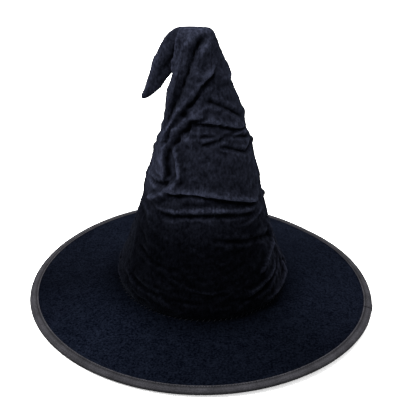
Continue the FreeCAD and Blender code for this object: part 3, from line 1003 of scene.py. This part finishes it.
def make_tip():
    """The hanging end of the cone: two velvet sides, the felt inside them and their seam."""
    rows, columns = 100, 96
    edges = np.array(TIP_LINE)
    middle = np.stack([edges[:, 0] + edges[:, 2], 2 * edges[:, 4], edges[:, 1] + edges[:, 3]], 1) / 2
    reach = np.stack([edges[:, 0] - edges[:, 2], edges[:, 1] - edges[:, 3], 2 * edges[:, 5]], 1) / 2
    line = through(np.hstack([middle, reach]), rows)
    centre = line[:, :3]
    width_way = line[:, 3:5] @ np.array([[1.0, 0.0, 0.0], [0.0, 0.0, 1.0]])
    half_width = np.linalg.norm(width_way, axis=1)
    depth_way = np.array([0.0, -1.0, 0.0])
    turns = np.linspace(0, 2 * np.pi, columns, endpoint=False)
    wide = np.cos(turns)[None, :, None] * width_way[:, None]
    deep = np.sin(turns)[None, :, None] * line[:, 5:6, None] * depth_way
    grid = centre[:, None] + wide + deep
    normals = grid_normals(grid, True)
    if (normals[30, columns // 4] * (grid[30, columns // 4] - centre[30])).sum() < 0:
        normals = -normals[:, ::-1]
        grid, wide, deep = (field[:, ::-1] for field in (grid, wide, deep))
    points = grid.reshape(-1, 3)
    rough = ripple(points, 16.0, 11) * 0.5 + ripple(points, 8.0, 12) * 0.2
    # A slanting groove down the front, which ends before the point.
    groove_s = (points[:, 0] + 38) * 0.86 + (points[:, 2] - 300) * -0.5
    facing = ease(0.1, 0.6, -normals.reshape(-1, 3)[:, 1])
    groove = -3.6 * np.exp(-((groove_s - 0.5) / 3.8) ** 2) * facing * ease(276, 298, points[:, 2])
    fade = ease(254, 266, points[:, 2])
    points = points + normals.reshape(-1, 3) * ((rough + groove) * fade)[:, None]
    grid = points.reshape(grid.shape)
    half = columns // 2
    first = 0 if normals[30, columns // 4, 1] < 0 else half
    # Painted light and shade on the tip: lighter down its left edge and on the ripples' bumps, darker in
    # their dips and in the groove.
    left_edge = ease(0.2, 0.9, (centre[:, None, 0] - grid[..., 0]) / np.maximum(half_width[:, None], 1))
    tone = 1.1 + 0.3 * np.clip(rough.reshape(rows, columns), -1, 1) + 1.0 * left_edge
    tone *= 1 + 0.18 * np.clip(groove.reshape(rows, columns), -4, 0)
    for end, start in (("front", first), ("back", first + half)):
        used = [(start + k) % columns for k in range(half + 1)]
        piece = grid_piece("tip_velvet_" + end, grid[:, used], False, CROWN_VELVET, None)
        set_tone(piece, tone[:, used])
        thicken(piece, 0.7)
        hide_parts("tip_%s_panel" % end)
        fold_with_tip(piece)
    inner = (centre[:, None] + wide * (1 - 3.0 / np.maximum(half_width, 3.5))[:, None, None]
             + deep * (1 - 5.0 / np.maximum(line[:, 5:6, None], 5.5)))
    felt = grid_piece("tip_felt", inner[4:76, ::2], True, FELT, None)
    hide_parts("tip_interlining")
    fold_with_tip(felt)
    seam = np.concatenate([grid[34:-3, 0], grid[-3:34:-1, half]])
    out = np.concatenate([normals[34:-3, 0], normals[-3:34:-1, half]])
    thread = stitches("tip_seam_stitches", seam, out, 3.4, 2.0, TIP_THREAD, THREAD, None)
    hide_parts("tip_seam_thread")
    fold_with_tip(thread)


def fold_with_tip(piece):
    """Bake a piece's placement into its points."""
    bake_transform(piece)


# ---- stage ----

def make_stage():
    floor_mesh = bpy.data.meshes.new("floor")
    work = bmesh.new()
    bmesh.ops.create_grid(work, x_segments=8, y_segments=8, size=4.0)
    work.to_mesh(floor_mesh)
    work.free()
    floor = bpy.data.objects.new("floor", floor_mesh)
    bpy.context.scene.collection.objects.link(floor)
    material = bpy.data.materials.new("floor")
    material.use_nodes = True
    shader = material.node_tree.nodes["Principled BSDF"]
    shader.inputs["Base Color"].default_value = (0.9, 0.9, 0.9, 1)
    shader.inputs["Roughness"].default_value = 0.9
    shader.inputs["Emission Color"].default_value = (1, 1, 1, 1)
    shader.inputs["Emission Strength"].default_value = 0.45
    floor_mesh.materials.append(material)
    floor.location.z = CAD_LOW.z

    bpy.context.scene.view_settings.view_transform = "Standard"
    world = bpy.data.worlds.new("studio")
    world.use_nodes = True
    world.node_tree.nodes["Background"].inputs["Color"].default_value = (1.0, 1.0, 1.0, 1)
    world.node_tree.nodes["Background"].inputs["Strength"].default_value = 1.15
    bpy.context.scene.world = world
    for name, spot, size, power in (
            ("key", (-1.1, -0.5, 1.7), 0.9, 78.0),
            ("top", (0.4, 0.7, 2.1), 1.2, 90.0)):
        light = bpy.data.lights.new(name, "AREA")
        light.shape = "DISK"
        light.size = size
        light.energy = power
        lamp = bpy.data.objects.new(name, light)
        lamp.location = spot
        aim = Vector((0, 0, 0.15)) - Vector(spot)
        lamp.rotation_euler = aim.to_track_quat("-Z", "Y").to_euler()
        bpy.context.scene.collection.objects.link(lamp)


def make_camera():
    """Camera 1.3 m from the middle of the hat, 28.5 degrees above it, rolled by about a degree."""
    target = Vector((-1.0, 0.0, 122.7)) * MM
    distance = 1.3
    rise = math.radians(28.48)
    roll = math.radians(1.34)
    camera = bpy.data.cameras.new("camera")
    camera.lens = 99.8
    camera.sensor_width = 36.0
    eye = bpy.data.objects.new("camera", camera)
    back = Vector((0, -math.cos(rise), math.sin(rise)))
    level, up = Vector((1, 0, 0)), Vector((0, math.sin(rise), math.cos(rise)))
    right = level * math.cos(roll) + up * math.sin(roll)
    top = up * math.cos(roll) - level * math.sin(roll)
    turn = Matrix((right, top, back)).transposed().to_4x4()
    eye.matrix_world = Matrix.Translation(target + back * distance) @ turn
    bpy.context.scene.collection.objects.link(eye)
    bpy.context.scene.camera = eye


make_brim()
make_binding()
make_brim_stitches()
make_wire()
make_cone()
make_sweatband()
make_tip()
make_stage()
make_camera()

bpy.context.view_layer.update()
